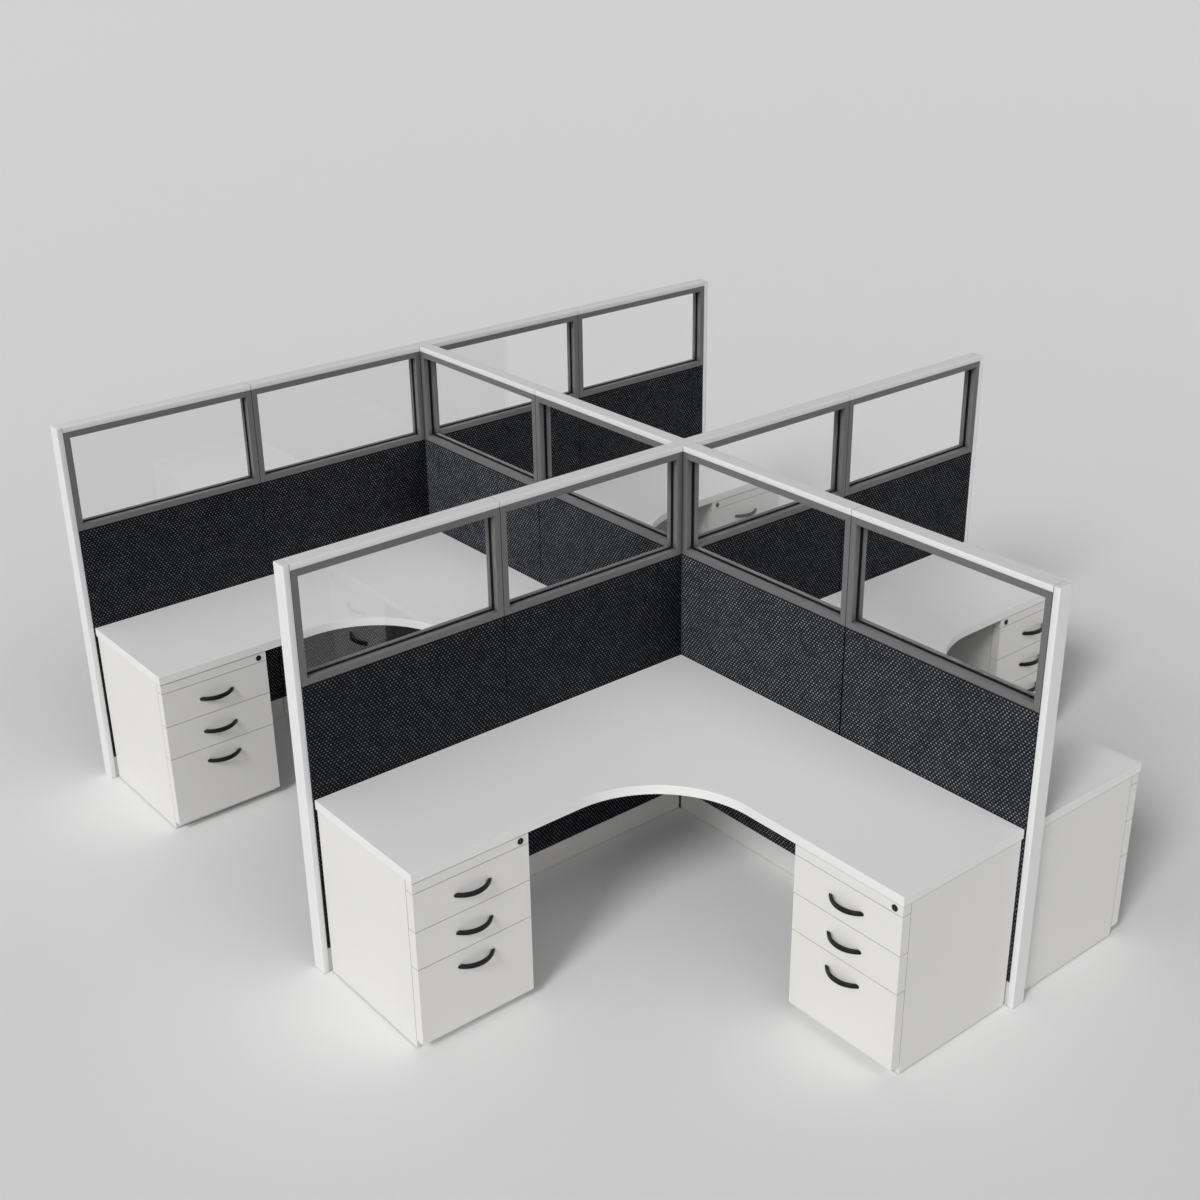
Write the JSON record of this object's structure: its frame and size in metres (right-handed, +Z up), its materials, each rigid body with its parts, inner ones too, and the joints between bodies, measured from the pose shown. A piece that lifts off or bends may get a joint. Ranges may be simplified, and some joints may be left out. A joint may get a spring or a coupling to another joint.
{
  "type": "cubicle workstation",
  "caption": "Cluster of L-shaped office desks in cubicle bays between glazed fabric screens, with lockable drawer pedestals.",
  "frame": {"origin": "on the floor, at the middle of the footprint's bounding box", "axes": "+X along the spine screen towards its free end, +Y across it towards the right-hand bays, +Z up"},
  "size_m": [3.6, 3.537, 1.62],
  "materials": {
    "white_coated_steel": "satin white powder coat",
    "white_laminate": "matt white laminate on board",
    "charcoal_weave": "dark woven panel fabric with pale flecks",
    "grey_window_frame": "dark grey anodised",
    "clear_glass": "clear",
    "black_gasket": "matt black",
    "zinc_steel": "zinc plated",
    "black_frame_steel": "matt black coated steel",
    "black_glide": "matt black moulded",
    "black_lock": "black coated zinc"
  },
  "bodies": {
    "workstation": {"window_stiles": "grey_window_frame", "window_rails": "grey_window_frame", "glass_panes": "clear_glass", "glazing_gaskets": "black_gasket", "panel_frames": "black_frame_steel", "skirtings": "white_coated_steel", "levelling_feet": "zinc_steel", "top_caps": "white_coated_steel", "spine_fabric_tiles": "charcoal_weave", "middle_fabric_tiles": "charcoal_weave", "rear_fabric_tiles": "charcoal_weave", "end_posts": "white_coated_steel", "junction_posts": "grey_window_frame", "desk_brackets": "white_coated_steel", "pedestal_glides": "black_glide", "screws": "zinc_steel", "front_left_desktop": "white_laminate", "front_left_cross_pedestal": "white_coated_steel", "front_left_spine_pedestal": "white_coated_steel", "front_right_desktop": "white_laminate", "front_right_cross_pedestal": "white_coated_steel", "front_right_spine_pedestal": "white_coated_steel", "rear_left_desktop": "white_laminate", "rear_left_cross_pedestal": "white_coated_steel", "rear_left_spine_pedestal": "white_coated_steel", "rear_right_desktop": "white_laminate", "rear_right_cross_pedestal": "white_coated_steel", "rear_right_spine_pedestal": "white_coated_steel"},
    "front_left_cross_lock": {"front_left_cross_lock": "black_lock"},
    "front_left_cross_top_drawer": {"front_left_cross_top_drawer": "white_coated_steel"},
    "front_left_cross_middle_drawer": {"front_left_cross_middle_drawer": "white_coated_steel"},
    "front_left_cross_bottom_drawer": {"front_left_cross_bottom_drawer": "white_coated_steel"},
    "front_left_spine_lock": {"front_left_spine_lock": "black_lock"},
    "front_left_spine_top_drawer": {"front_left_spine_top_drawer": "white_coated_steel"},
    "front_left_spine_middle_drawer": {"front_left_spine_middle_drawer": "white_coated_steel"},
    "front_left_spine_bottom_drawer": {"front_left_spine_bottom_drawer": "white_coated_steel"},
    "front_right_cross_lock": {"front_right_cross_lock": "black_lock"},
    "front_right_cross_top_drawer": {"front_right_cross_top_drawer": "white_coated_steel"},
    "front_right_cross_middle_drawer": {"front_right_cross_middle_drawer": "white_coated_steel"},
    "front_right_cross_bottom_drawer": {"front_right_cross_bottom_drawer": "white_coated_steel"},
    "front_right_spine_lock": {"front_right_spine_lock": "black_lock"},
    "front_right_spine_top_drawer": {"front_right_spine_top_drawer": "white_coated_steel"},
    "front_right_spine_middle_drawer": {"front_right_spine_middle_drawer": "white_coated_steel"},
    "front_right_spine_bottom_drawer": {"front_right_spine_bottom_drawer": "white_coated_steel"},
    "rear_left_cross_lock": {"rear_left_cross_lock": "black_lock"},
    "rear_left_cross_top_drawer": {"rear_left_cross_top_drawer": "white_coated_steel"},
    "rear_left_cross_middle_drawer": {"rear_left_cross_middle_drawer": "white_coated_steel"},
    "rear_left_cross_bottom_drawer": {"rear_left_cross_bottom_drawer": "white_coated_steel"},
    "rear_left_spine_lock": {"rear_left_spine_lock": "black_lock"},
    "rear_left_spine_top_drawer": {"rear_left_spine_top_drawer": "white_coated_steel"},
    "rear_left_spine_middle_drawer": {"rear_left_spine_middle_drawer": "white_coated_steel"},
    "rear_left_spine_bottom_drawer": {"rear_left_spine_bottom_drawer": "white_coated_steel"},
    "rear_right_cross_lock": {"rear_right_cross_lock": "black_lock"},
    "rear_right_cross_top_drawer": {"rear_right_cross_top_drawer": "white_coated_steel"},
    "rear_right_cross_middle_drawer": {"rear_right_cross_middle_drawer": "white_coated_steel"},
    "rear_right_cross_bottom_drawer": {"rear_right_cross_bottom_drawer": "white_coated_steel"},
    "rear_right_spine_lock": {"rear_right_spine_lock": "black_lock"},
    "rear_right_spine_top_drawer": {"rear_right_spine_top_drawer": "white_coated_steel"},
    "rear_right_spine_middle_drawer": {"rear_right_spine_middle_drawer": "white_coated_steel"},
    "rear_right_spine_bottom_drawer": {"rear_right_spine_bottom_drawer": "white_coated_steel"}
  },
  "joints": [
    {"name": "front_left_cross_lock_turn", "type": "hinge", "parent": "workstation", "child": "front_left_cross_lock", "pos_m": [0.66, -1.2975, 0.6705], "axis": [1, 0, 0], "range_deg": [0, 90]},
    {"name": "front_left_cross_top_drawer_slide", "type": "slide", "parent": "workstation", "child": "front_left_cross_top_drawer", "axis": [1, 0, 0], "range_m": [0, 0.4]},
    {"name": "front_left_cross_middle_drawer_slide", "type": "slide", "parent": "workstation", "child": "front_left_cross_middle_drawer", "axis": [1, 0, 0], "range_m": [0, 0.4]},
    {"name": "front_left_cross_bottom_drawer_slide", "type": "slide", "parent": "workstation", "child": "front_left_cross_bottom_drawer", "axis": [1, 0, 0], "range_m": [0, 0.4]},
    {"name": "front_left_spine_lock_turn", "type": "hinge", "parent": "workstation", "child": "front_left_spine_lock", "pos_m": [1.732, -0.6285, 0.6705], "axis": [0, -1, 0], "range_deg": [0, 90]},
    {"name": "front_left_spine_top_drawer_slide", "type": "slide", "parent": "workstation", "child": "front_left_spine_top_drawer", "axis": [0, -1, 0], "range_m": [0, 0.4]},
    {"name": "front_left_spine_middle_drawer_slide", "type": "slide", "parent": "workstation", "child": "front_left_spine_middle_drawer", "axis": [0, -1, 0], "range_m": [0, 0.4]},
    {"name": "front_left_spine_bottom_drawer_slide", "type": "slide", "parent": "workstation", "child": "front_left_spine_bottom_drawer", "axis": [0, -1, 0], "range_m": [0, 0.4]},
    {"name": "front_right_cross_lock_turn", "type": "hinge", "parent": "workstation", "child": "front_right_cross_lock", "pos_m": [0.66, 1.2975, 0.6705], "axis": [-1, 0, 0], "range_deg": [0, 90]},
    {"name": "front_right_cross_top_drawer_slide", "type": "slide", "parent": "workstation", "child": "front_right_cross_top_drawer", "axis": [1, 0, 0], "range_m": [0, 0.4]},
    {"name": "front_right_cross_middle_drawer_slide", "type": "slide", "parent": "workstation", "child": "front_right_cross_middle_drawer", "axis": [1, 0, 0], "range_m": [0, 0.4]},
    {"name": "front_right_cross_bottom_drawer_slide", "type": "slide", "parent": "workstation", "child": "front_right_cross_bottom_drawer", "axis": [1, 0, 0], "range_m": [0, 0.4]},
    {"name": "front_right_spine_lock_turn", "type": "hinge", "parent": "workstation", "child": "front_right_spine_lock", "pos_m": [1.732, 0.6285, 0.6705], "axis": [0, -1, 0], "range_deg": [0, 90]},
    {"name": "front_right_spine_top_drawer_slide", "type": "slide", "parent": "workstation", "child": "front_right_spine_top_drawer", "axis": [0, 1, 0], "range_m": [0, 0.4]},
    {"name": "front_right_spine_middle_drawer_slide", "type": "slide", "parent": "workstation", "child": "front_right_spine_middle_drawer", "axis": [0, 1, 0], "range_m": [0, 0.4]},
    {"name": "front_right_spine_bottom_drawer_slide", "type": "slide", "parent": "workstation", "child": "front_right_spine_bottom_drawer", "axis": [0, 1, 0], "range_m": [0, 0.4]},
    {"name": "rear_left_cross_lock_turn", "type": "hinge", "parent": "workstation", "child": "rear_left_cross_lock", "pos_m": [-1.14, -1.2975, 0.6705], "axis": [1, 0, 0], "range_deg": [0, 90]},
    {"name": "rear_left_cross_top_drawer_slide", "type": "slide", "parent": "workstation", "child": "rear_left_cross_top_drawer", "axis": [1, 0, 0], "range_m": [0, 0.4]},
    {"name": "rear_left_cross_middle_drawer_slide", "type": "slide", "parent": "workstation", "child": "rear_left_cross_middle_drawer", "axis": [1, 0, 0], "range_m": [0, 0.4]},
    {"name": "rear_left_cross_bottom_drawer_slide", "type": "slide", "parent": "workstation", "child": "rear_left_cross_bottom_drawer", "axis": [1, 0, 0], "range_m": [0, 0.4]},
    {"name": "rear_left_spine_lock_turn", "type": "hinge", "parent": "workstation", "child": "rear_left_spine_lock", "pos_m": [-0.068, -0.6285, 0.6705], "axis": [0, -1, 0], "range_deg": [0, 90]},
    {"name": "rear_left_spine_top_drawer_slide", "type": "slide", "parent": "workstation", "child": "rear_left_spine_top_drawer", "axis": [0, -1, 0], "range_m": [0, 0.4]},
    {"name": "rear_left_spine_middle_drawer_slide", "type": "slide", "parent": "workstation", "child": "rear_left_spine_middle_drawer", "axis": [0, -1, 0], "range_m": [0, 0.4]},
    {"name": "rear_left_spine_bottom_drawer_slide", "type": "slide", "parent": "workstation", "child": "rear_left_spine_bottom_drawer", "axis": [0, -1, 0], "range_m": [0, 0.4]},
    {"name": "rear_right_cross_lock_turn", "type": "hinge", "parent": "workstation", "child": "rear_right_cross_lock", "pos_m": [-1.14, 1.2975, 0.6705], "axis": [-1, 0, 0], "range_deg": [0, 90]},
    {"name": "rear_right_cross_top_drawer_slide", "type": "slide", "parent": "workstation", "child": "rear_right_cross_top_drawer", "axis": [1, 0, 0], "range_m": [0, 0.4]},
    {"name": "rear_right_cross_middle_drawer_slide", "type": "slide", "parent": "workstation", "child": "rear_right_cross_middle_drawer", "axis": [1, 0, 0], "range_m": [0, 0.4]},
    {"name": "rear_right_cross_bottom_drawer_slide", "type": "slide", "parent": "workstation", "child": "rear_right_cross_bottom_drawer", "axis": [1, 0, 0], "range_m": [0, 0.4]},
    {"name": "rear_right_spine_lock_turn", "type": "hinge", "parent": "workstation", "child": "rear_right_spine_lock", "pos_m": [-0.068, 0.6285, 0.6705], "axis": [0, -1, 0], "range_deg": [0, 90]},
    {"name": "rear_right_spine_top_drawer_slide", "type": "slide", "parent": "workstation", "child": "rear_right_spine_top_drawer", "axis": [0, 1, 0], "range_m": [0, 0.4]},
    {"name": "rear_right_spine_middle_drawer_slide", "type": "slide", "parent": "workstation", "child": "rear_right_spine_middle_drawer", "axis": [0, 1, 0], "range_m": [0, 0.4]},
    {"name": "rear_right_spine_bottom_drawer_slide", "type": "slide", "parent": "workstation", "child": "rear_right_spine_bottom_drawer", "axis": [0, 1, 0], "range_m": [0, 0.4]}
  ]
}
